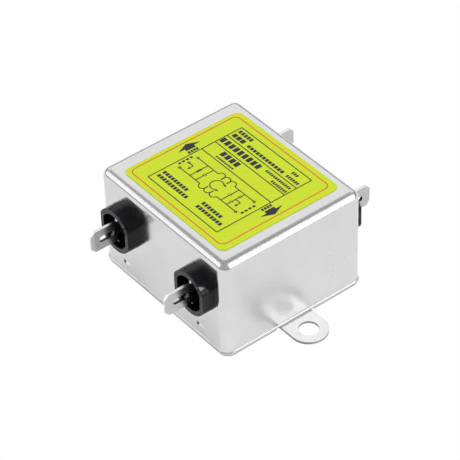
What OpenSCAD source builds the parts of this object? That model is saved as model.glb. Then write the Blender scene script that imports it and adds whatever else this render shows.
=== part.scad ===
// EMI line filter in a drawn metal can, chassis mounting.
// Frame: the origin is at the middle of the mounting face, under the base plate.
// +X points to the two load terminals, -X to the two line terminals,
// the mounting ears lie along Y, and +Z points up to the label. Millimetres.

/* [Can] */
// outside length of the can between its two terminal walls
can_x = 44.5; // [42:0.5:52]
// outside length of the can between its two eared sides
can_y = 50.5; // [49.5:0.5:60]
// height of the can's top above the mounting face
height = 30.1; // [29.6:0.1:34]
// thickness of the can's sheet
can_t = 0.5; // [0.4:0.05:0.6]
// outer radius of the four upright corners
corner_r = 2.6; // [2.5:0.1:4]
// outer radius along the top edge
top_r = 2.3; // [1.6:0.1:2.4]
// how far the lip at the can's foot stands out
lip = 0.3; // [0.15:0.05:0.4]

/* [Base plate] */
// thickness of the base plate
plate_t = 0.7; // [0.6:0.05:1]
// width of a mounting ear
ear_w = 10.2; // [9:0.2:12]
// distance between the two mounting holes
hole_spacing = 61; // [60.5:0.5:72]
// diameter of a mounting hole
hole_d = 5.3; // [4.2:0.1:5.6]

/* [Terminals] */
// distance between the two terminals of a side
terminal_pitch = 30.5; // [30:0.25:32]
// height of the terminals' middle above the mounting face
terminal_z = 17.25; // [17:0.05:18]
// width of the push-on tab
tab_w = 6.35; // [6.2:0.05:6.5]
// thickness of the push-on tab
tab_t = 0.8; // [0.7:0.05:0.9]
// length of the tab from its tip to its shoulders
tab_len = 8.25; // [7.8:0.05:9]

/* [Bushings] */
// outer diameter of a bushing's cup
cup_d = 12.8; // [12.6:0.1:13.2]
// width of a cup across its two upright flats
cup_flats = 11.5; // [11.4:0.1:12]
// how far a cup stands out of the can
cup_out = 3.4; // [3:0.1:4.5]
// thickness of a cup's wall at the flats
cup_wall = 1.25; // [1:0.05:1.25]
// depth of a cup from its rim to its floor
cup_depth = 3.9; // [3.6:0.1:3.9]

/* [Label] */
// size of the label along the line from terminals to terminals
label_x = 37.7; // [36:0.1:38]
// size of the label from ear to ear
label_y = 40.6; // [40:0.1:42]
// thickness of the label
label_t = 0.12; // [0.1:0.01:0.2]

/* [Hidden] */
$fn = 64;
e = 0.01;                       // overlap of cutters past a face
half_x = can_x / 2;
half_y = can_y / 2;
seat = 0.05;                    // clearance of a moulded or pressed fit, each side

// catches: lances of the can that snap into windows of the base plate's tabs
catch_len = 2.9;
catch_off = 0.4;                // from the terminal's axis, towards the hinge
catch_h = 1.1;
catch_z = 4.25;
catch_in = 0.55;                // how far a catch's free end is pressed in
catch_slot = 0.05;              // width of the slit along a catch
catch_gap = 0.35;               // width of the opening at its free end
plate_bend = 0.2;               // inner radius of a bent-up tab
tab_gap = 0.1;                  // from the can's wall to the bend
tab_face = half_x - can_t - tab_gap - plate_bend;   // outer face of a bent-up tab
latch_w = 6.5;                  // width of a bent-up tab
latch_top = 6.4;
window_play = 0.3;              // between a catch and its window, each side

// terminals and bushings
tab_chamfer = 1.2;
tab_bevel = 1;                  // length of the thinned tip
tab_bevel_t = 0.45;             // thickness of the tip's end
slot_l = 4.6;
slot_w = 1.8;
slot_from_tip = 4.85;
shoulder_w = 7.2;               // width behind the shoulders
shoulder_in = 0.75;             // shoulders' place behind the cup's rim
nose_l = 1.2;                   // slightly smaller front of a cup
nose_step = 0.05;
cup_corner = 1.5;               // rounding between a cup's flats and its arcs
mouth_corner = 0.9;             // the same in its mouth
mouth_extra = 0.2;              // how much thicker the wall is at the arcs
slot_in = 8;                    // how deep the terminal's slot reaches into a bushing
// side of the square flange inside the can, as wide as the flat of the wall allows
flange_size = min(14.8, 2 * (half_y - corner_r - terminal_pitch / 2));
flange_t = 1.5;
flange_round = 2;
boss_d = 10;
boss_l = 3;
tip_x = half_x + cup_out - shoulder_in + tab_len;   // from the middle to a tab's tip
leg_w = 2;                      // leg that goes down to the board
leg_x = 15;                     // inner side of that leg
neck_w = 4;                     // width of the strip between the tail and the leg
tail_cut = 1;                   // corner taken off the tail's inner end

// circuit
board_z = 5.2;
board_t = 1.6;
board_top = board_z + board_t;
board_x = can_x - 4.9;
board_y = can_y - 4.5;
lead_out = 1.2;                 // lead end under the board
lead_d = 0.8;
solder_h = 0.8;
core_od = 24;
core_id = 13;
core_h = 10;
core_z = 11;                    // underside of the ring core
wire_t = 1.1;                   // thickness of the winding's wire
core_gap = 0.05;                // between the core and its winding
turns = 9;
turn_angle = 13;                // between neighbouring turns
xcap = [18, 7.4, 15.6];
xcap_y = 18.7;
ycap_d = 8;
ycap_t = 3;
ycap_x = 16.3;
ycap_lift = 1.8;                // the disc's lowest point above the board
ycap_stem = 0.6;                // lower end of the coating on the leads, above the board
ycap_pitch = 5;
resistor_at = [12, 18];
resistor_d = 2.4;
resistor_l = 6;
resistor_pitch = 8;
resin_z = 21.4;
sheet_t = 0.3;

// label print, in label coordinates: u to the right along the words, v up
print_t = 0.04;
line_w = 0.26;
label_r = 2;
label_at = [0.15, -0.2];
print_at = [0.05, 0.15];
border = [34.8, 37.6];
border_r = 1.8;
frame_u = 13.9;
frame_v = [-15.1, 15.2];
rules_v = [10.35, 6.45, 2.05];
arrow_u = [18, 16.45, 15.6];    // tip, back of the head, tail
arrow_w = 7;                    // width of an arrow's head
arrow_shaft = 3;
rail_v = [-0.95, -6.8];         // the diagram's two rails
mid_v = -3.85;
coil_r = 1.1;                   // radius of one hump of the diagram's coils

steel = [0.80, 0.80, 0.81];
tinned = [0.76, 0.76, 0.76];
black_plastic = [0.13, 0.13, 0.14];
label_green = [0.80, 0.88, 0.20];
orange = [0.91, 0.42, 0.22];
ink = [0.14, 0.14, 0.22];

// ---------- helpers ----------

// a block centred on x and y, standing on z
module block(x, y, z) {
    translate([-x / 2, -y / 2, 0]) cube([x, y, z]);
}

// a block centred on x and y with rounded upright corners
module round_block(x, y, z, r) {
    block(x - 2 * r, y, z);
    block(x, y - 2 * r, z);
    for (sx = [-1, 1], sy = [-1, 1])
        translate([sx * (x / 2 - r), sy * (y / 2 - r), 0]) cylinder(r = r, h = z);
}

// a rod along +X from the origin: a circle cut by two upright flats, the corners rounded
module cup_rod(d, flats, r, l) {
    a = flats / 2 - r;
    c = sqrt((d / 2 - r) * (d / 2 - r) - a * a);
    rotate([0, 90, 0]) linear_extrude(height = l) difference() {
        intersection() {
            circle(d = d);
            square([2 * d, flats], center = true);
        }
        for (sx = [-1, 1], sy = [-1, 1]) difference() {
            polygon([[sx * c, sy * a], [sx * c, sy * flats], [2 * sx * c, 2 * sy * a]]);
            translate([sx * c, sy * a]) circle(r = r);
        }
    }
}

// puts a terminal's or bushing's own frame (x out of the can's middle, origin on
// the tab's axis) at its place: side -1 line or 1 load, row -1 or 1
module at_terminal(side, row) {
    translate([0, row * terminal_pitch / 2, terminal_z])
        rotate([0, 0, side < 0 ? 180 : 0])
            children();
}

// a round lead wire from the board's underside up to z
module lead(x, y, top) {
    translate([x, y, board_z - lead_out]) cylinder(d = lead_d, h = top - board_z + lead_out);
}

// ---------- can ----------

module quarter_disc(r) {
    intersection() {
        circle(r = r);
        square(r);
    }
}

// section of the can's skin, reach wide, from the axis of the corner radius out
module rounded_section(reach, rise, r) {
    square([reach, rise - r]);
    square([reach - r, rise]);
    translate([reach - r, rise - r]) quarter_disc(r);
}

// section of the wall with its rounded top edge and the lip at its foot
module wall_section() {
    rise = height - plate_t;
    difference() {
        rounded_section(corner_r, rise, top_r);
        translate([-e, -e]) rounded_section(corner_r - can_t + e, rise - can_t + e, top_r - can_t);
    }
    translate([corner_r, 0]) square([lip, lip]);
    translate([corner_r, lip]) difference() {
        square(lip);
        translate([lip, lip]) circle(r = lip);
    }
}

// one straight wall along the local Y axis, outer face towards +X
module can_wall(out, length) {
    translate([out - corner_r, length / 2, plate_t])
        rotate([90, 0, 0]) linear_extrude(height = length) wall_section();
}

// puts a catch's own frame at its place, z at the catch's lower edge
module at_catch(side, row) {
    rotate([0, 0, side < 0 ? 180 : 0])
        translate([0, row * terminal_pitch / 2 + catch_off, catch_z - catch_h / 2]) children();
}

// the slit round a catch, and the catch itself, bent inwards from its hinge
module catch_slit() {
    translate([half_x, -catch_gap / 2, -catch_slot])
        block(4 * can_t, catch_len + catch_gap, catch_h + 2 * catch_slot);
}

module catch() {
    linear_extrude(height = catch_h) polygon([
        [half_x, catch_len / 2], [half_x - can_t, catch_len / 2],
        [half_x - can_t - catch_in, -catch_len / 2], [half_x - catch_in, -catch_len / 2]]);
}

module can_shell() {
    color(steel) {
        difference() {
            union() {
                for (side = [0, 180]) rotate([0, 0, side]) {
                    can_wall(half_x, can_y - 2 * corner_r);
                    rotate([0, 0, 90]) can_wall(half_y, can_x - 2 * corner_r);
                    for (corner = [[1, 1, 0], [-1, 1, 90]])
                        translate([corner[0] * (half_x - corner_r),
                                   corner[1] * (half_y - corner_r), plate_t])
                            rotate([0, 0, corner[2]])
                                rotate_extrude(angle = 90) wall_section();
                }
                translate([0, 0, height - can_t])
                    block(can_x - 2 * corner_r, can_y - 2 * corner_r, can_t);
            }
            for (side = [-1, 1], row = [-1, 1]) {
                at_terminal(side, row) translate([half_x - 2 * can_t, 0, 0])
                    cup_rod(cup_d + 2 * seat, cup_flats + 2 * seat, cup_corner + seat, 3 * can_t);
                at_catch(side, row) catch_slit();
            }
        }
        for (side = [-1, 1], row = [-1, 1]) at_catch(side, row) catch();
    }
}

// ---------- base plate ----------

// a tab bent up out of the plate, with the window for a catch
module latch_tab() {
    centre = tab_face + plate_bend;
    translate([0, latch_w / 2, 0]) rotate([90, 0, 0]) linear_extrude(height = latch_w) {
        translate([tab_face - plate_t, plate_t + plate_bend])
            square([plate_t, latch_top - plate_t - plate_bend]);
        translate([centre, plate_t + plate_bend]) intersection() {
            difference() {
                circle(r = plate_t + plate_bend);
                circle(r = plate_bend);
            }
            translate([-plate_t - plate_bend, -plate_t - plate_bend]) square(plate_t + plate_bend);
        }
    }
}

module base_plate() {
    developed = latch_top + 0.4;    // length of sheet that a tab takes
    bend_x = tab_face + plate_bend;
    color(steel) {
        difference() {
            union() {
                round_block(can_x, can_y, plate_t, corner_r);
                block(ear_w, hole_spacing, plate_t);
                for (s = [-1, 1]) translate([0, s * hole_spacing / 2, 0])
                    cylinder(d = ear_w, h = plate_t);
            }
            for (s = [-1, 1]) {
                translate([0, s * hole_spacing / 2, -1]) cylinder(d = hole_d, h = plate_t + 2);
                for (t = [-1, 1]) translate([t * (ear_w / 2 + 0.5), s * half_y, -1])
                    cylinder(r = 0.5, h = plate_t + 2);
                for (row = [-1, 1])
                    translate([s * (bend_x - developed / 2), row * terminal_pitch / 2, -1])
                        block(developed, latch_w + 0.4, plate_t + 2);
            }
        }
        for (side = [0, 180], row = [-1, 1]) rotate([0, 0, side])
            translate([0, row * terminal_pitch / 2, 0]) difference() {
                latch_tab();
                translate([tab_face - plate_t / 2, catch_off, catch_z - catch_h / 2 - window_play])
                    block(2 * plate_t, catch_len + 2 * window_play, catch_h + 2 * window_play);
            }
    }
}

// ---------- bushings and terminals ----------

module bushing(side, row) {
    rim = half_x + cup_out;
    wall_in = half_x - can_t;
    color(black_plastic) at_terminal(side, row) difference() {
        union() {
            translate([wall_in, 0, 0])
                cup_rod(cup_d, cup_flats, cup_corner, cup_out + can_t - nose_l);
            translate([rim - nose_l, 0, 0])
                cup_rod(cup_d - 2 * nose_step, cup_flats - 2 * nose_step, cup_corner - nose_step, nose_l);
            translate([wall_in - flange_t, 0, 0]) rotate([0, 90, 0])
                round_block(flange_size, flange_size, flange_t, flange_round);
            translate([wall_in - flange_t - boss_l, 0, 0]) rotate([0, 90, 0])
                cylinder(d = boss_d, h = boss_l);
        }
        translate([rim - cup_depth, 0, 0])
            cup_rod(cup_d - 2 * cup_wall - 2 * mouth_extra, cup_flats - 2 * cup_wall,
                    mouth_corner, cup_depth + 1);
        translate([half_x - slot_in, 0, -shoulder_w / 2 - seat])
            block(2 * slot_in, tab_t + 2 * seat, shoulder_w + 2 * seat);
    }
}

module bushing_line_1() { bushing(-1, -1); }
module bushing_line_2() { bushing(-1, 1); }
module bushing_load_1() { bushing(1, -1); }
module bushing_load_2() { bushing(1, 1); }

// side view of a terminal: x out of the can, y up, from the tab's axis
module terminal_outline() {
    shoulder = tip_x - tab_len;
    tail = half_x - can_t - flange_t - boss_l;
    polygon([
        [tip_x, tab_w / 2 - tab_chamfer], [tip_x - tab_chamfer, tab_w / 2],
        [shoulder, tab_w / 2], [shoulder, shoulder_w / 2],
        [tail, shoulder_w / 2], [tail - tail_cut, neck_w / 2], [leg_x, neck_w / 2],
        [leg_x, board_z - lead_out - terminal_z], [leg_x + leg_w, board_z - lead_out - terminal_z],
        [leg_x + leg_w, -neck_w / 2], [tail, -shoulder_w / 2],
        [shoulder, -shoulder_w / 2], [shoulder, -tab_w / 2],
        [tip_x - tab_chamfer, -tab_w / 2], [tip_x, tab_chamfer - tab_w / 2]]);
}

// top view of a terminal, with both faces bevelled towards the tip
module terminal_plan() {
    polygon([
        [leg_x, -tab_t / 2], [tip_x - tab_bevel, -tab_t / 2], [tip_x, -tab_bevel_t / 2],
        [tip_x, tab_bevel_t / 2], [tip_x - tab_bevel, tab_t / 2], [leg_x, tab_t / 2]]);
}

module terminal(side, row) {
    slot_x = tip_x - slot_from_tip;
    straight = slot_l - slot_w;
    color(tinned) at_terminal(side, row) difference() {
        intersection() {
            translate([0, tab_t, 0]) rotate([90, 0, 0])
                linear_extrude(height = 2 * tab_t) terminal_outline();
            translate([0, 0, -height]) linear_extrude(height = 2 * height) terminal_plan();
        }
        translate([slot_x, tab_t, 0]) rotate([90, 0, 0]) {
            for (s = [-1, 1]) translate([s * straight / 2, 0, 0])
                cylinder(d = slot_w, h = 2 * tab_t);
            block(straight, slot_w, 2 * tab_t);
        }
    }
}

module terminal_line_1() { terminal(-1, -1); }
module terminal_line_2() { terminal(-1, 1); }
module terminal_load_1() { terminal(1, -1); }
module terminal_load_2() { terminal(1, 1); }

// ---------- label ----------

module label() {
    color(label_green) translate([label_at[0], label_at[1], height])
        round_block(label_x, label_y, label_t, label_r);
}

// print lies on the label; u runs along -Y and v along +X
module on_label() {
    translate([print_at[0], print_at[1], height + label_t])
        rotate([0, 0, -90]) linear_extrude(height = print_t) children();
}

module round_rect(x, y, r) {
    square([x - 2 * r, y], center = true);
    square([x, y - 2 * r], center = true);
    for (sx = [-1, 1], sy = [-1, 1])
        translate([sx * (x / 2 - r), sy * (y / 2 - r)]) circle(r = r);
}

module label_border() {
    color(orange) on_label() difference() {
        round_rect(border[1], border[0], border_r);
        round_rect(border[1] - 2 * line_w, border[0] - 2 * line_w, border_r - line_w);
    }
}

// a straight printed line, along u or along v
module line_u(u0, u1, v, w = line_w) {
    translate([u0, v - w / 2]) square([u1 - u0, w]);
}
module line_v(u, v0, v1, w = line_w) {
    translate([u - w / 2, v0]) square([w, v1 - v0]);
}

// a bar broken into blocks, standing for a row of words
module word_bar(u0, v0, block_w, block_h, count, gap) {
    for (i = [0:count - 1]) translate([u0 + i * (block_w + gap), v0]) square([block_w, block_h]);
}

// a broad arrow beside the frame, pointing along u
module arrow(dir) {
    tip = arrow_u[0] * dir;
    head = arrow_u[1] * dir;
    tail = arrow_u[2] * dir;
    translate([0, frame_v[0] / 2 + frame_v[1] / 2]) polygon([
        [tip, 0], [head, arrow_w / 2], [head, arrow_shaft / 2], [tail, arrow_shaft / 2],
        [tail, -arrow_shaft / 2], [head, -arrow_shaft / 2], [head, -arrow_w / 2]]);
}

module label_print() {
    color(ink) on_label() {
        // table frame and its rules
        for (v = frame_v) line_u(-frame_u, frame_u, v);
        for (u = [-frame_u, frame_u]) line_v(u, frame_v[0], frame_v[1]);
        for (v = rules_v) line_u(-frame_u, frame_u, v);
        for (dir = [-1, 1]) arrow(dir);
        diagram();
        words();
    }
}

module ring(u, v, r, w) {
    translate([u, v]) difference() {
        circle(r = r, $fn = 24);
        circle(r = r - w, $fn = 24);
    }
}

// filter diagram: two rails, a coupled choke, capacitors, a resistor, earths
module diagram() {
    for (v = rail_v) {
        line_u(-11.2, -3.3, v);
        line_u(3.3, 10.6, v);
        for (u = [-11.6, 11]) ring(u, v, 0.42, line_w);
        top = v > mid_v;
        for (i = [-1:1]) translate([i * 2 * coil_r, v]) rotate(top ? 0 : 180) coil_hump();
        for (u = [-coil_r, coil_r]) line_v(u, top ? v - 0.85 : v, top ? v : v + 0.85, 0.34);
    }
    // core: an open loop with an arrowhead at each end
    difference() {
        ring(-0.1, mid_v - 0.1, 1.9, line_w);
        translate([1, mid_v - 1.2]) square([2, 2.2]);
    }
    for (s = [-1, 1]) translate([1.5, mid_v - 0.1 + s * 1.45])
        polygon([[0.6, -s * 0.3], [-0.3, s * 0.32], [-0.5, -s * 0.3]]);
    // resistor and capacitors across the rails
    line_v(-7.45, rail_v[1], rail_v[0]);
    line_v(-7.45, mid_v - 0.8, mid_v + 0.8, 0.6);
    for (u = [-5.15, 5.05]) capacitor(u, rail_v[1], rail_v[0]);
    capacitor(7.3, rail_v[1], mid_v);
    capacitor(7.3, mid_v, rail_v[0]);
    line_u(7.3, 9.1, mid_v);
    earth(9.1);
    ring(-11.6, mid_v, 0.42, line_w);
    line_u(-11.2, -9.85, mid_v);
    earth(-9.85);
}

module coil_hump() {
    intersection() {
        ring(0, 0, coil_r + line_w / 2, line_w);
        translate([-2 * coil_r, 0]) square([4 * coil_r, 2 * coil_r]);
    }
}

module capacitor(u, v0, v1) {
    mid = (v0 + v1) / 2;
    gap = 0.14;
    line_v(u, v0, mid - gap);
    line_v(u, mid + gap, v1);
    for (s = [-1, 1]) line_u(u - 0.5, u + 0.5, mid + s * (gap + 0.08), 0.16);
}

module earth(u) {
    line_v(u, mid_v - 1.2, mid_v);
    translate([u, mid_v - 1.9]) polygon([[0, 0], [0.4, 0.8], [-0.4, 0.8]]);
}

module words() {
    word_bar(-13.1, 13.2, 0.8, 1.2, 5, 0.3);
    word_bar(-13.1, 11.1, 1.3, 1.4, 3, 0.3);
    word_bar(-7.1, 11.2, 0.9, 1, 12, 0.3);
    word_bar(8.4, 13.1, 0.55, 0.9, 3, 0.25);
    word_bar(8.4, 11.2, 0.55, 0.9, 6, 0.25);
    word_bar(-13.6, 7.5, 1.25, 1.9, 9, 0.5);
    word_bar(3.5, 8.6, 0.5, 0.8, 13, 0.25);
    word_bar(7.6, 7, 0.5, 0.8, 8, 0.25);
    word_bar(-9.2, 4, 1.35, 1.8, 4, 0.45);
    word_bar(-9.1, 2.7, 0.45, 0.6, 10, 0.25);
    word_bar(-12.9, -11.4, 0.8, 1.1, 9, 0.3);
    word_bar(-12.9, -13.2, 0.8, 1.1, 11, 0.3);
    word_bar(2.9, -11.4, 0.8, 1.1, 7, 0.3);
    word_bar(2.9, -13.2, 0.8, 1.1, 9, 0.3);
    for (u = [-15.2, 14.3]) for (i = [0:3]) translate([u, -1.6 + i * 0.85]) square([0.9, 0.6]);
    for (u = [-13.2, 12]) for (i = [0:3]) translate([u, -6.2 + i * 1.25]) square([0.6, 0.8]);
}

// ---------- circuit ----------

module insulation_sheet() {
    color([0.62, 0.55, 0.40]) translate([0, 0, plate_t])
        round_block(2 * (tab_face - plate_t - 0.3), can_y - 2 * can_t - 1, sheet_t, 1);
}

// where each kind of lead passes through the board
xcap_leads = [for (sy = [-1, 1], sx = [-1, 1]) [sx * 7.5, sy * xcap_y]];
ycap_leads = [for (sx = [-1, 1], sy = [-1, 1]) [sx * ycap_x, sy * ycap_pitch / 2]];
resistor_ends = [for (s = [-1, 1]) [resistor_at[0], resistor_at[1] + s * resistor_pitch / 2]];
// a winding's ends hang from the outside of its first and last turns
end_angle = (turns - 1) / 2 * turn_angle;
end_r = core_od / 2 + core_gap + wire_t / 2;
choke_ends = [for (sy = [-1, 1], sx = [-1, 1])
    [sx * end_r * sin(end_angle), sy * end_r * cos(end_angle)]];
legs = [for (sx = [-1, 1], sy = [-1, 1]) [sx * (leg_x + leg_w / 2), sy * terminal_pitch / 2]];
leads = concat(xcap_leads, ycap_leads, resistor_ends, choke_ends);

module circuit_board() {
    color([0.55, 0.43, 0.22]) difference() {
        translate([0, 0, board_z]) block(board_x, board_y, board_t);
        for (p = leads) translate([p[0], p[1], board_z - 1])
            cylinder(d = lead_d + 2 * seat, h = board_t + 2);
        for (p = legs) translate([p[0], p[1], board_z - 1])
            block(leg_w + 2 * seat, tab_t + 2 * seat, board_t + 2);
    }
}

module choke_core() {
    color([0.22, 0.24, 0.22]) translate([0, 0, core_z]) difference() {
        cylinder(d = core_od, h = core_h);
        translate([0, 0, -1]) cylinder(d = core_id, h = core_h + 2);
    }
}

// section through the ring core's turns, from x0 inside to x1 outside the ring
module turn_section(x0, x1) {
    rise = core_h + 2 * core_gap;
    translate([x0, -rise / 2 - wire_t]) square([x1 - wire_t - x0, rise + 2 * wire_t]);
    translate([x0, -rise / 2]) square([x1 - x0, rise]);
    for (s = [-1, 1]) translate([x1 - wire_t, s * rise / 2]) circle(r = wire_t);
}

// one turn of wire round the core
module turn() {
    inside = core_id / 2 - core_gap;
    outside = core_od / 2 + core_gap;
    rise = core_h + 2 * core_gap;
    translate([0, wire_t / 2, core_z + core_h / 2])
        rotate([90, 0, 0]) linear_extrude(height = wire_t) difference() {
            turn_section(inside - wire_t, outside + wire_t);
            translate([inside, -rise / 2]) square([outside - inside, rise]);
        }
}

// half of the core's turns; the first and the last have an end down through the board
module choke_winding(side) {
    last = turns - 1;
    color([0.72, 0.36, 0.16]) for (i = [0:last])
        rotate([0, 0, side * 90 + (i - last / 2) * turn_angle]) {
            turn();
            if (i == 0 || i == last) lead(end_r, 0, core_z);
        }
}

module choke_winding_1() { choke_winding(-1); }
module choke_winding_2() { choke_winding(1); }

// stands across the core's hole, between the two windings
module divider_shape() {
    reach = core_gap + wire_t;
    translate([0, 0, core_z - reach]) block(core_id - 4 * core_gap, 1, core_h + 2 * reach);
}

module choke_divider() {
    color([0.90, 0.90, 0.86]) divider_shape();
}

module x_capacitor(side) {
    color([0.93, 0.75, 0.16]) translate([0, side * xcap_y, board_top])
        block(xcap[0], xcap[1], xcap[2]);
}

module x_capacitor_line() { x_capacitor(-1); }
module x_capacitor_load() { x_capacitor(1); }

// a coated disc; the coating runs a little way down both leads
module y_capacitor(side) {
    middle = ycap_lift + ycap_d / 2;
    color([0.16, 0.42, 0.68]) translate([side * ycap_x, 0, board_top]) {
        translate([-ycap_t / 2, 0, middle]) rotate([0, 90, 0]) cylinder(d = ycap_d, h = ycap_t);
        for (s = [-1, 1]) translate([0, s * ycap_pitch / 2, ycap_stem])
            cylinder(d = 2 * lead_d, h = middle - ycap_stem);
    }
}

module y_capacitor_1() { y_capacitor(-1); }
module y_capacitor_2() { y_capacitor(1); }

module bleeder_resistor() {
    color([0.78, 0.66, 0.48])
        translate([resistor_at[0], resistor_at[1] + resistor_l / 2, board_top + resistor_d / 2])
            rotate([90, 0, 0]) cylinder(d = resistor_d, h = resistor_l);
}

module x_capacitor_leads() {
    color(tinned) for (p = xcap_leads) lead(p[0], p[1], board_top);
}

module y_capacitor_leads() {
    color(tinned) for (p = ycap_leads) lead(p[0], p[1], board_top + ycap_stem);
}

// each end comes out of the body along its axis and turns down
module resistor_leads() {
    z = board_top + resistor_d / 2;
    bend = 0.8;
    reach = (resistor_pitch - resistor_l) / 2 - bend;
    color(tinned) translate([resistor_at[0], resistor_at[1], 0])
        for (side = [-90, 90]) rotate([0, 0, side]) {
            translate([resistor_l / 2, 0, z]) rotate([0, 90, 0]) cylinder(d = lead_d, h = reach);
            translate([resistor_pitch / 2 - bend, 0, z - bend]) rotate([90, 0, 0])
                rotate_extrude(angle = 90) translate([bend, 0]) circle(d = lead_d);
            translate([resistor_pitch / 2, 0, board_z - lead_out])
                cylinder(d = lead_d, h = z - bend - board_z + lead_out);
        }
}

// a cone of solder under the board, round a lead d wide, which is the child
module solder(p, d) {
    translate([p[0], p[1], board_z - solder_h]) difference() {
        cylinder(d1 = d + 0.3, d2 = d + 1.5, h = solder_h);
        children();
    }
}

module solder_joints() {
    color([0.70, 0.71, 0.73]) {
        for (p = leads) solder(p, lead_d) translate([0, 0, -1]) cylinder(d = lead_d, h = 4);
        for (p = legs) solder(p, leg_w + 0.5) translate([0, 0, -1]) block(leg_w, tab_t, 4);
    }
}

// resin poured into the upturned can: it holds the tops of the capacitors and choke
module potting_resin() {
    inner_x = can_x - 2 * can_t;
    inner_y = can_y - 2 * can_t;
    inner_top = height - can_t;
    inset = top_r - can_t;
    color([0.30, 0.24, 0.18]) difference() {
        union() {
            translate([0, 0, resin_z])
                round_block(inner_x, inner_y, inner_top - inset - resin_z, corner_r - can_t);
            translate([0, 0, resin_z])
                block(inner_x - 2 * inset, inner_y - 2 * inset, inner_top - resin_z);
        }
        for (side = [-1, 1]) {
            translate([0, side * xcap_y, board_top]) block(xcap[0], xcap[1], xcap[2]);
            for (row = [-1, 1]) at_terminal(side, row) {
                translate([half_x, 0, -flange_size])
                    block(2 * (can_t + flange_t), flange_size, 1.5 * flange_size);
                translate([half_x - can_t - flange_t - boss_l, 0, 0]) rotate([0, 90, 0])
                    cylinder(d = boss_d, h = boss_l + 1);
            }
        }
        translate([0, 0, core_z])
            cylinder(r = end_r + wire_t / 2 + 0.2, h = core_h + core_gap + wire_t);
        divider_shape();
    }
}

can_shell();
base_plate();
bushing_line_1();
bushing_line_2();
bushing_load_1();
bushing_load_2();
terminal_line_1();
terminal_line_2();
terminal_load_1();
terminal_load_2();
label();
label_border();
label_print();
insulation_sheet();
circuit_board();
choke_core();
choke_winding_1();
choke_winding_2();
choke_divider();
x_capacitor_line();
x_capacitor_load();
y_capacitor_1();
y_capacitor_2();
bleeder_resistor();
x_capacitor_leads();
y_capacitor_leads();
resistor_leads();
solder_joints();
potting_resin();
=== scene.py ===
"""Finishes, floor, light and camera for the EMI line filter.

Lengths are in metres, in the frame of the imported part: X from line to load terminals,
Y from ear to ear, Z up from the mounting face.
"""

import math

import bmesh
import bpy
from mathutils import Matrix, Vector

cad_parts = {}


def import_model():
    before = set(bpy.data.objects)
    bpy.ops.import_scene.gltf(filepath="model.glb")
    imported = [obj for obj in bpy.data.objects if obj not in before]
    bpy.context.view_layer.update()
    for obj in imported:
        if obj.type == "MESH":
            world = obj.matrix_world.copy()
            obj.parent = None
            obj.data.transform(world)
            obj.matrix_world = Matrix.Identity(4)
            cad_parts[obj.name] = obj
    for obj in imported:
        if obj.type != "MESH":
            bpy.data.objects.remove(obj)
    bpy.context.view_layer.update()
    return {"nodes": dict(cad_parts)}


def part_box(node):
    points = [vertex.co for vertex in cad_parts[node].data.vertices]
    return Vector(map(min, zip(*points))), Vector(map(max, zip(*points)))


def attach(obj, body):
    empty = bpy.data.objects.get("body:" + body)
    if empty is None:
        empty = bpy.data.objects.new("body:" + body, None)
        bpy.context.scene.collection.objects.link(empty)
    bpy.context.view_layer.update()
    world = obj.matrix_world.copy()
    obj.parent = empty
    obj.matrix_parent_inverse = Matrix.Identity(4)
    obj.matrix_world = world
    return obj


MM = 0.001

# ---------- camera ----------
AZIMUTH = -37.29  # degrees round Z, 0 looks along +Y
ELEVATION = 40.95
ROLL = -2.10
DISTANCE = 0.617
LENS = 189.4  # mm, on the 36 mm sensor
SHIFT = (-0.0029, -0.0116)

# ---------- light ----------
WORLD_LEVEL = 0.5
HORIZON_LEVEL = 0.12  # the room's level at the horizon
HORIZON_TOP = 0.2  # where the room reaches its full level, as the sine of its elevation
# each: name, heading, elevation, distance, width, height, level
SOFT_BOXES = (
    ("back_card", 53, 36, 1.2, 1.7, 0.75, 0.53),
    ("right_box", -52, 35, 1.3, 1.1, 1.05, 0.95),
    ("right_strip", -60, 13, 1.3, 0.5, 0.3, 2.6),
    ("left_box", 140, 28, 1.3, 1.2, 0.85, 0.85),
)
SPARK_BOX = ("spark_box", -55, 37, 1.2, 0.44, 0.34, 18.0)
SPARK_COLOR = (0.85, 0.9, 1)
TOP_BOX = ("top_box", -127, 84, 1.3, 0.6, 0.6, 2.6)

# ---------- floor ----------
FLOOR_RADIUS = 3.0
FLOOR_DROP = 0.02 * MM  # below the mounting face
FLOOR_LIGHT_POOL = (0.032, 0.06)  # painted pool of light: where its paler middle ends and its darker part begins
FLOOR_ALBEDO = 0.88
# the floor's colour beyond the painted pool of light
FLOOR_ALBEDO_FAR = 0.74
FLOOR_GLOW = 0.3  # what a mirror sees of the floor besides its lit surface
EAR_SHADOW = 0.85  # depth of the shadow beyond an ear's tip
SHADOW_OFF = 0.7 * MM  # from the ear's hole to the shadow's middle
SHADOW_REACH = 12 * MM  # the length that the shadow's ramp is drawn over
SHADOW_RAMP = ((0.22, 0), (0.4, 1), (0.5, 1), (0.78, 0))  # share of that reach, depth
SHADOW_FADE = (-2 * MM, 4 * MM)  # from the ear's hole: no shadow, full shadow

# ---------- what the finishes need to know of the part ----------
EAR_RADIUS = 5.1 * MM
CAN_LIP = 0.3 * MM
FLAT = (0.975, 0.998)  # how squarely a face looks up: rounded edge, flat top
RIM = (0.75 * MM, 0.4 * MM)  # below the top: where the draw marks begin, where they are full
SEAM_SHADE = (0.4 * MM, 0.65 * MM)  # beyond the can's lip: full painted shade along the can's foot, clean metal
HOLE_EDGE = (2.9 * MM, 3.2 * MM)  # from the axis of an ear's hole, just outside its radius: where the painted shade in the hole ends
SLOT_EDGE = (0.95 * MM, 1.15 * MM)  # from a tab's axis, just outside its slot, where the slot's painted shade ends
SLOT_START = (1.4 * MM, 1.0 * MM)  # from a tab's tip, short of its slot: painted shade in the slot full, none
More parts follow.
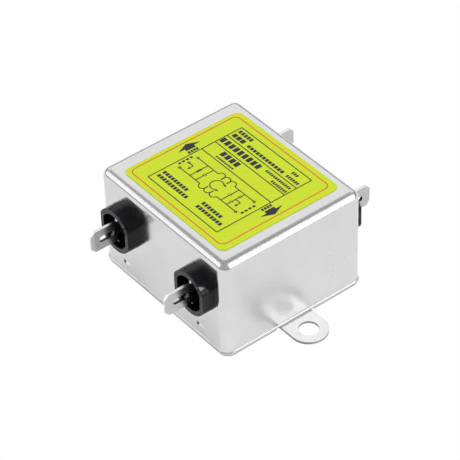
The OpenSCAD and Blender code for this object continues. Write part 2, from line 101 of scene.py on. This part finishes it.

# ---------- catches, in mm ----------
CATCH_OFF = 0.4  # from the terminal's axis, towards the hinge
CATCH_Z = 4.25  # the middle's height above the mounting face
CATCH_Y = (-2.05, -1.4, 1.45)  # far edge of the slot, cut end, hinge
CATCH_HEIGHT = 1.3
CATCH_BORDER = 0.15
CATCH_DEPTH = 0.53
CATCH_WEDGE = (-0.17, 0.45, 0.2)  # foot and head at the cut end, tip at the hinge
CATCH_LIFT = 0.004  # of the skin from the can's wall
CATCH_SKIN = 0.02

# ---------- node helpers ----------


class Nodes:
    """Short ways to add nodes to one node tree."""

    def __init__(self, tree, coordinates="Object"):
        self.new = tree.nodes.new
        self.link = tree.links.new
        self.place = self.new("ShaderNodeTexCoord").outputs[coordinates]

    def plug(self, value, socket):
        """A socket's value: an output to link, or a constant to set."""
        if isinstance(value, bpy.types.NodeSocket):
            self.link(value, socket)
        else:
            socket.default_value = value

    def vector(self, operation, first, second=(0, 0, 0), result="Vector"):
        """A Vector Math node."""
        node = self.new("ShaderNodeVectorMath")
        node.operation = operation
        self.plug(first, node.inputs[0])
        self.plug(second, node.inputs[1])
        return node.outputs[result]

    def math(self, operation, first, second=0.0):
        """A Math node; each value may be an output or a number."""
        node = self.new("ShaderNodeMath")
        node.operation = operation
        self.plug(first, node.inputs[0])
        self.plug(second, node.inputs[1])
        return node.outputs["Value"]

    def axis(self, index, source=None):
        """One coordinate of the object position, or of another vector."""
        node = self.new("ShaderNodeSeparateXYZ")
        self.link(source or self.place, node.inputs["Vector"])
        return node.outputs[index]

    def range(self, value, low, high, start=0.3, end=0.7):
        """value from start..end brought to low..high; most noise lies in 0.3..0.7."""
        node = self.new("ShaderNodeMapRange")
        node.inputs["From Min"].default_value = start
        node.inputs["From Max"].default_value = end
        node.inputs["To Min"].default_value = low
        node.inputs["To Max"].default_value = high
        self.link(value, node.inputs["Value"])
        return node.outputs["Result"]

    def ramp(self, value, stops):
        """A soft curve through stops, each (place, level); level is 0 at both ends."""
        node = self.new("ShaderNodeValToRGB")
        node.color_ramp.interpolation = "EASE"
        points = node.color_ramp.elements
        points[0].position, points[1].position = stops[0][0], stops[-1][0]
        points[0].color = points[1].color = (0, 0, 0, 1)
        for place, level in stops[1:-1]:
            points.new(place).color = (level, level, level, 1)
        self.link(value, node.inputs["Fac"])
        return node.outputs["Color"]

    def is_ray(self, kind):
        """1 for rays of one kind, such as Camera or Glossy."""
        return self.new("ShaderNodeLightPath").outputs[f"Is {kind} Ray"]

    def white_to_camera(self, other, emitter, output):
        """The tree's end: plain white for the camera and other for everything else."""
        white = self.new(emitter)
        white.inputs["Color"].default_value = (1, 1, 1, 1)
        white.inputs["Strength"].default_value = 1.0
        mix = self.new("ShaderNodeMixShader")
        self.link(self.is_ray("Camera"), mix.inputs["Fac"])
        self.link(other, mix.inputs[1])
        self.link(white.outputs[0], mix.inputs[2])
        self.link(mix.outputs["Shader"], self.new(output).inputs["Surface"])


class Look(Nodes):
    """One procedural material: its node tree and its main shader."""

    def __init__(self, name, color, roughness, metallic=0.0):
        self.material = bpy.data.materials.new(name)
        self.material.use_nodes = True
        super().__init__(self.material.node_tree)
        self.shader = self.material.node_tree.nodes["Principled BSDF"]
        self.shader.inputs["Base Color"].default_value = (*color, 1)
        self.shader.inputs["Roughness"].default_value = roughness
        self.shader.inputs["Metallic"].default_value = metallic

    def stretched(self, x, y, z):
        """Object coordinates with each axis scaled, for streaks."""
        return self.vector("MULTIPLY", self.place, (x, y, z))

    def noise(self, size, detail=3.0, vector=None):
        """Noise whose features are about size metres wide."""
        node = self.new("ShaderNodeTexNoise")
        node.inputs["Scale"].default_value = 1 / size
        node.inputs["Detail"].default_value = detail
        self.link(vector or self.place, node.inputs["Vector"])
        return node.outputs["Fac"]

    def facing(self, index, low, high, start, end):
        """low..high as a face turns towards one axis, either way, from start to end."""
        normal = self.new("ShaderNodeNewGeometry").outputs["True Normal"]
        turned = self.math("ABSOLUTE", self.axis(index, normal))
        return self.range(turned, low, high, start, end)

    def blend(self, factor, first, second):
        """A colour output between two colours or colour outputs."""
        node = self.new("ShaderNodeMix")
        node.data_type = "RGBA"
        for socket, value in (("A", first), ("B", second)):
            if isinstance(value, tuple):
                value = (*value, 1)
            self.plug(value, node.inputs[socket])
        self.link(factor, node.inputs["Factor"])
        return node.outputs["Result"]

    def tint(self, factor, first, second):
        """The shader's base colour, from first to second by factor."""
        self.link(self.blend(factor, first, second), self.shader.inputs["Base Color"])

    def roughen(self, factor):
        """The shader's roughness."""
        self.link(factor, self.shader.inputs["Roughness"])

    def bump(self, *layers, edge=0.0):
        """Bump layers, each (height 0..1, depth in metres), over edges rounded by edge."""
        normal = None
        if edge:
            bevel = self.new("ShaderNodeBevel")
            bevel.samples = 6
            bevel.inputs["Radius"].default_value = edge
            normal = bevel.outputs["Normal"]
        for height, depth in layers:
            node = self.new("ShaderNodeBump")
            node.inputs["Strength"].default_value = 1
            node.inputs["Distance"].default_value = depth
            self.link(height, node.inputs["Height"])
            if normal:
                self.link(normal, node.inputs["Normal"])
            normal = node.outputs["Normal"]
        self.link(normal, self.shader.inputs["Normal"])


def shade(color, factor):
    """A colour made darker or lighter."""
    return tuple(min(1.0, c * factor) for c in color)


# ---------- materials ----------


def can_metal(top):
    """Bright tinned sheet: a soft mirror with faint clouds, drawn rough along its top edge."""
    look = Look("can_metal", (0.715, 0.715, 0.72), 0.2, metallic=1)
    clouds = look.range(look.noise(9 * MM, 2), 0, 1)
    face = look.blend(clouds, (0.70, 0.70, 0.705), (0.73, 0.73, 0.733))
    # draw marks, on the rounded top edge but not on the flat top
    rim = look.range(look.axis(2), 0, 1, top - RIM[0], top - RIM[1])
    flat_top = look.facing(2, 0, 1, *FLAT)
    rim = look.math("SUBTRACT", rim, look.math("MULTIPLY", rim, flat_top))
    streaks = look.noise(0.32 * MM, 4, look.stretched(1, 1, 0.3))
    marks = look.math("MULTIPLY", look.range(streaks, 0, 1, 0.5, 0.68), rim)
    look.tint(marks, face, (0.45, 0.45, 0.46))
    # the walls above the ears are duller than the terminal walls
    grain = look.range(look.noise(3 * MM), 0.15, 0.2)
    look.roughen(look.math("ADD", grain, look.facing(1, 0, 0.12, 0.8, 1)))
    look.bump(
        (look.noise(12 * MM, 1), 0.02 * MM),
        (look.math("MULTIPLY", streaks, rim), 0.005 * MM),
        (look.noise(0.25 * MM), 0.0008 * MM),
    )
    return look.material


def plate_metal(half_y, ear_y):
    """The base plate's sheet, brighter than the can's; its sheared edges are duller, some in
    painted shade.

    Painted shade runs along the can's foot, where its lip shades the plate and the ears.
    """
    look = Look("plate_metal", (0.95, 0.95, 0.95), 0.3, metallic=1)
    clouds = look.range(look.noise(4 * MM), 0, 1)
    face = look.blend(clouds, (0.94, 0.94, 0.94), (0.97, 0.97, 0.97))
    off_middle = look.math("ABSOLUTE", look.axis(1))
    # painted shade along the can's foot, where its lip meets the plate and the ears
    wander = look.range(look.noise(2.5 * MM), -0.15 * MM, 0.15 * MM)
    seam_shade = look.math("ADD", off_middle, wander)
    seam_shade = look.range(seam_shade, 1, 0, half_y + SEAM_SHADE[0], half_y + SEAM_SHADE[1])
    # painted shade: the edges are darkest along the ears' sides, which face along X, and in
    # their holes
    sides = look.facing(0, 0, 1, 0.4, 0.95)
    from_hole = look.math("POWER", look.math("SUBTRACT", off_middle, ear_y), 2)
    from_hole = look.math("ADD", from_hole, look.math("POWER", look.axis(0), 2))
    in_hole = look.range(from_hole, 1, 0, HOLE_EDGE[0] ** 2, HOLE_EDGE[1] ** 2)
    edge_shade = look.math("MAXIMUM", sides, in_hole)
    edge = look.blend(edge_shade, (0.85, 0.85, 0.85), (0.4, 0.4, 0.41))
    upright = look.facing(2, 1, 0, 0.2, 0.8)
    look.tint(seam_shade, look.blend(upright, face, edge), (0.45, 0.45, 0.46))
    grain = look.range(look.noise(1.5 * MM), 0.26, 0.34)
    look.roughen(look.math("ADD", grain, look.math("MULTIPLY", upright, 0.2)))
    look.bump((look.noise(0.2 * MM), 0.0015 * MM), edge=0.1 * MM)
    return look.material


def tin_plate(tip_x, middle_z):
    """Tin-plated tabs with grain along the strip, edges painted bright as a highlight, painted
    shade in the slot.
    """
    look = Look("tin_plate", (0.5, 0.5, 0.5), 0.27, metallic=1)
    grain = look.noise(0.25 * MM, 3, look.stretched(0.12, 1, 1))
    mottle = look.range(look.noise(1.2 * MM), 0, 1)
    flat = look.blend(mottle, (0.52, 0.52, 0.515), (0.55, 0.55, 0.545))
    # painted shade on the slot's own edges, which lie near the tab's axis and away from its
    # tip
    off_axis = look.math("ABSOLUTE", look.math("SUBTRACT", look.axis(2), middle_z))
    tab_slot_shade = look.range(off_axis, 1, 0, *SLOT_EDGE)
    off_middle = look.math("ABSOLUTE", look.axis(0))
    behind_tip = look.range(off_middle, 1, 0, tip_x - SLOT_START[0], tip_x - SLOT_START[1])
    tab_slot_shade = look.math("MULTIPLY", tab_slot_shade, behind_tip)
    # the other edges are painted brighter, a painted highlight
    edge = look.blend(tab_slot_shade, (0.82, 0.82, 0.82), (0.1, 0.1, 0.1))
    look.tint(look.facing(1, 1, 0, 0.4, 0.8), flat, edge)
    look.roughen(look.range(look.noise(2 * MM), 0.25, 0.29))
    look.bump((grain, 0.0005 * MM), edge=0.06 * MM)
    return look.material


def black_moulding():
    """Moulded black nylon: deep black and glossy, painted a little paler on the faces that
    look along X, a painted reflection.
    """
    look = Look("black_moulding", (0.006, 0.006, 0.008), 0.15)
    look.shader.inputs["Specular IOR Level"].default_value = 0.22
    mottle = look.range(look.noise(2 * MM), 0, 1)
    side = look.blend(mottle, (0.003, 0.003, 0.004), (0.006, 0.006, 0.009))
    # painted reflection: the faces that look along X, such as the rims, are painted paler
    look.tint(look.facing(0, 0, 1, 0.9, 0.99), side, (0.026, 0.026, 0.032))
    look.roughen(look.range(look.noise(1.2 * MM), 0.11, 0.17))
    look.bump((look.noise(0.5 * MM), 0.0006 * MM), edge=0.2 * MM)
    return look.material


def printed_film(name, color):
    """Printed label film: even ink with a faint mottle."""
    look = Look(name, color, 0.42)
    look.shader.inputs["Specular IOR Level"].default_value = 0.3
    look.tint(look.range(look.noise(0.5 * MM), 0, 1), shade(color, 0.96), shade(color, 1.04))
    look.roughen(look.range(look.noise(0.7 * MM), 0.37, 0.47))
    look.bump((look.noise(0.15 * MM), 0.0008 * MM))
    return look.material


def plain_part(name, color, roughness, metallic=0.0):
    """Inner pieces, which the can hides: coloured, slightly mottled, slightly rough."""
    look = Look(name, color, roughness, metallic)
    look.tint(look.range(look.noise(0.5 * MM), 0, 1), shade(color, 0.85), shade(color, 1.12))
    look.bump((look.noise(0.25 * MM), 0.003 * MM), edge=0.1 * MM)
    return look.material


def dress(nodes, ear_y):
    """Each CAD node gets its finish."""
    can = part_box("can_shell")[1]
    cup_low, cup_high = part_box("bushing_load_1")
    tip_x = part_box("terminal_load_1")[1].x
    black = black_moulding()
    tin = tin_plate(tip_x, (cup_low.z + cup_high.z) / 2)
    yellow = plain_part("capacitor_yellow", (0.85, 0.52, 0.02), 0.35)
    blue = plain_part("capacitor_blue", (0.02, 0.14, 0.42), 0.35)
    copper = plain_part("enamelled_copper", (0.62, 0.17, 0.05), 0.25, metallic=1)
    wire = plain_part("tinned_wire", (0.7, 0.7, 0.7), 0.3, metallic=1)
    finishes = {
        "can_shell": can_metal(can.z),
        "base_plate": plate_metal(can.y, ear_y),
        "label": printed_film("label_green", (0.67, 0.82, 0.014)),
        "label_border": printed_film("label_orange", (0.9, 0.09, 0.05)),
        "label_print": printed_film("label_ink", (0.02, 0.022, 0.04)),
        "insulation_sheet": plain_part("pressed_board", (0.34, 0.26, 0.13), 0.8),
        "circuit_board": plain_part("laminate", (0.26, 0.15, 0.04), 0.5),
        "choke_core": plain_part("ferrite", (0.04, 0.047, 0.04), 0.45),
        "choke_divider": plain_part("divider_film", (0.78, 0.78, 0.7), 0.5),
        "bleeder_resistor": plain_part("resistor_body", (0.57, 0.4, 0.2), 0.35),
        "solder_joints": plain_part("solder", (0.6, 0.61, 0.63), 0.25, metallic=1),
        "potting_resin": plain_part("potting_resin", (0.07, 0.045, 0.025), 0.2),
    }
    groups = {
        "bushing": black,
        "terminal": tin,
        "x_capacitor": yellow,
        "y_capacitor": blue,
        "choke_winding": copper,
    }
    for name, node in nodes.items():
        if name.endswith("leads"):
            finish = wire
        elif name in finishes:
            finish = finishes[name]
        else:
            finish = next(m for start, m in groups.items() if name.startswith(start))
        node.data.materials.clear()
        node.data.materials.append(finish)


# ---------- catches ----------


def catches(metal):
    """The can's four snap catches as pressed: a wedge, sunk deepest at its cut end."""
    # painted shade: a flat near-black material that stands for the shade in each catch's slot
    slot_shade = Look("catch_slot_shade", (0.02, 0.02, 0.02), 0.6)
    slot_shade.tint(slot_shade.range(slot_shade.noise(0.4 * MM), 0, 1), (0.012, 0.012, 0.012), (0.03, 0.03, 0.03))
    wall_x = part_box("can_shell")[1].x - CAN_LIP
    cup_low, cup_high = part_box("bushing_load_2")
    row_y = (cup_low.y + cup_high.y) / 2
    # the load side is the line side turned by 180 degrees
    for side, side_name in ((-1, "line"), (1, "load")):
        for row in (-1, 1):
            name = f"catch_{side_name}_{1 if row < 0 else 2}"
            piece = catch(name, side, wall_x, side * row * row_y)
            piece.data.materials.append(metal)
            piece.data.materials.append(slot_shade.material)
            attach(piece, "root")


def catch(name, side, wall_x, middle_y):
    """A skin just over the can's wall: the wedge, and a flat patch of painted shade for the
    slot at its cut end.
    """
    mesh = bmesh.new()

    def face(*corners, material=0):
        """A face through points given as depth, distance along the wall and height."""
        loop = []
        for depth, y, z in corners:
            along = middle_y + side * (CATCH_OFF + y) * MM
            x = side * (wall_x + (CATCH_LIFT - depth) * MM)
            loop.append(mesh.verts.new((x, along, (CATCH_Z + z) * MM)))
        mesh.faces.new(loop).material_index = material

    far, cut, hinge = CATCH_Y
    foot, head, end = CATCH_WEDGE
    tall, edge = CATCH_HEIGHT / 2, CATCH_HEIGHT / 2 + CATCH_BORDER
    start = far - CATCH_BORDER
    inner, point = (CATCH_DEPTH, cut, head), (0, hinge, end)
    low, high = (0, cut, foot), (0, cut, head)
    # the slot, a flat patch of painted shade, with a flat border round it
    slot_far = ((0, far, -tall), (0, far, tall))
    slot_cut = ((0, cut, -tall), (0, cut, tall))
    face((0, start, -edge), (0, far, -edge), *slot_far, (0, far, edge), (0, start, edge))
    face((0, far, -edge), (0, cut, -edge), slot_cut[0], slot_far[0])
    face(slot_far[1], slot_cut[1], (0, cut, edge), (0, far, edge))
    face(slot_far[0], slot_cut[0], low, high, slot_cut[1], slot_far[1], material=1)
    # the wedge, running out at the hinge
    face(low, point, inner)
    face(inner, point, high)
    # the wedge's cut end, also in painted shade
    face(low, inner, high, material=1)
    face((0, cut, -edge), (0, hinge, -edge), point, low, slot_cut[0])
    face(high, point, (0, hinge, edge), (0, cut, edge), slot_cut[1])
    bmesh.ops.remove_doubles(mesh, verts=mesh.verts, dist=1e-7)
    data = bpy.data.meshes.new(name)
    mesh.to_mesh(data)
    mesh.free()
    piece = bpy.data.objects.new(name, data)
    bpy.context.scene.collection.objects.link(piece)
    thicken = piece.modifiers.new("thicken", "SOLIDIFY")
    thicken.thickness = CATCH_SKIN * MM
    return piece


# ---------- stage ----------


def ear_shadow(tree, ear_y):
    """1 on the open floor, less in the soft shadow round each ear's tip."""
    mirrored = tree.vector("ABSOLUTE", tree.place)
    middle = (0, ear_y + SHADOW_OFF, 0)
    away = tree.vector("DISTANCE", mirrored, middle, "Value")
    ring = tree.ramp(tree.math("DIVIDE", away, SHADOW_REACH), SHADOW_RAMP)
    fade_start, fade_end = (ear_y + offset for offset in SHADOW_FADE)
    depth = tree.range(tree.axis(1, mirrored), 0, EAR_SHADOW, fade_start, fade_end)
    return tree.math("SUBTRACT", 1, tree.math("MULTIPLY", ring, depth))


def floor(ear_y):
    """A wide pale floor: plain white to the camera, lit and shaded to everything else.

    Its soft shadows round the ears show in the can's walls, as in the photograph.
    """
    bpy.ops.mesh.primitive_circle_add(
        radius=FLOOR_RADIUS, vertices=96, fill_type="NGON", location=(0, 0, -FLOOR_DROP)
    )
    disc = bpy.context.object
    disc.name = "floor"
    material = bpy.data.materials.new("floor_white")
    material.use_nodes = True
    material.node_tree.nodes.clear()
    tree = Nodes(material.node_tree)
    away = tree.vector("LENGTH", tree.place, result="Value")
    # a painted pool of light: the floor's colour is paler near the part
    albedo_and_light_pool = tree.range(away, FLOOR_ALBEDO, FLOOR_ALBEDO_FAR, *FLOOR_LIGHT_POOL)
    lit = tree.new("ShaderNodeBsdfDiffuse")
    shaded = tree.math("MULTIPLY", ear_shadow(tree, ear_y), albedo_and_light_pool)
    tree.link(shaded, lit.inputs["Color"])
    glow = tree.new("ShaderNodeEmission")
    level = tree.math("MULTIPLY", tree.is_ray("Glossy"), FLOOR_GLOW)
    tree.link(level, glow.inputs["Strength"])
    both = tree.new("ShaderNodeAddShader")
    tree.link(lit.outputs["BSDF"], both.inputs[0])
    tree.link(glow.outputs["Emission"], both.inputs[1])
    result = both.outputs["Shader"]
    tree.white_to_camera(result, "ShaderNodeEmission", "ShaderNodeOutputMaterial")
    disc.data.materials.append(material)


def world():
    """An even grey room, darker towards the horizon and white to the camera."""
    studio = bpy.data.worlds.new("studio")
    studio.use_nodes = True
    bpy.context.scene.world = studio
    studio.node_tree.nodes.clear()
    tree = Nodes(studio.node_tree, "Generated")
    room = tree.new("ShaderNodeBackground")
    room.inputs["Color"].default_value = (1, 1, 1, 1)
    level = tree.range(tree.axis(2), HORIZON_LEVEL, WORLD_LEVEL, 0, HORIZON_TOP)
    tree.link(level, room.inputs["Strength"])
    result = room.outputs["Background"]
    tree.white_to_camera(result, "ShaderNodeBackground", "ShaderNodeOutputWorld")


def softbox(name, heading, elevation, distance, width, height, level):
    """An area light aimed at the part; level is how bright it looks, whatever its size.

    heading runs from +X towards +Y and elevation up from the floor, both in degrees.
    """
    light = bpy.data.lights.new(name, "AREA")
    light.shape = "RECTANGLE"
    light.size = width
    light.size_y = height
    light.energy = level * math.pi * width * height
    holder = bpy.data.objects.new(name, light)
    a, e = math.radians(heading), math.radians(elevation)
    direction = Vector((math.cos(a) * math.cos(e), math.sin(a) * math.cos(e), math.sin(e)))
    holder.location = direction * distance
    holder.rotation_mode = "QUATERNION"
    holder.rotation_quaternion = direction.to_track_quat("Z", "Y")
    bpy.context.scene.collection.objects.link(holder)
    return holder


def lights(mouldings):
    """Soft boxes round the part, most of them seen as reflections in its metal."""
    for box in SOFT_BOXES:
        softbox(*box)
    # seen only as a crisp highlight on the black mouldings
    spark = softbox(*SPARK_BOX)
    spark.data.color = SPARK_COLOR
    spark.visible_diffuse = False
    spark.light_linking.receiver_collection = mouldings
    # lights the part and the floor from overhead but isn't mirrored in anything
    overhead = softbox(*TOP_BOX)
    overhead.visible_glossy = False


def camera(height):
    """The photograph's view: a long lens that looks at the middle of the can."""
    target = Vector((0, 0, height / 2))
    a, e, roll = (math.radians(x) for x in (AZIMUTH, ELEVATION, ROLL))
    back = Vector((math.sin(a) * math.cos(e), -math.cos(a) * math.cos(e), math.sin(e)))
    level = back.cross(Vector((0, 0, -1))).normalized()
    upright = back.cross(level)
    right = level * math.cos(roll) + upright * math.sin(roll)
    up = upright * math.cos(roll) - level * math.sin(roll)
    data = bpy.data.cameras.new("camera")
    data.lens = LENS
    data.sensor_width = 36
    data.shift_x, data.shift_y = SHIFT
    data.clip_start = 0.05
    data.clip_end = 20
    holder = bpy.data.objects.new("camera", data)
    axes = Matrix((right, up, back)).transposed().to_4x4()
    holder.matrix_world = Matrix.Translation(target + back * DISTANCE) @ axes
    bpy.context.scene.collection.objects.link(holder)
    bpy.context.scene.camera = holder


# ---------- scene ----------

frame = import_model()
ear_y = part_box("base_plate")[1].y - EAR_RADIUS
dress(frame["nodes"], ear_y)
catches(frame["nodes"]["can_shell"].data.materials[0])
floor(ear_y)
world()
mouldings = bpy.data.collections.new("mouldings")
for node, piece in frame["nodes"].items():
    if node.startswith("bushing"):
        mouldings.objects.link(piece)
lights(mouldings)
camera(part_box("can_shell")[1].z)
bpy.context.scene.view_settings.view_transform = "Standard"
bpy.context.view_layer.update()
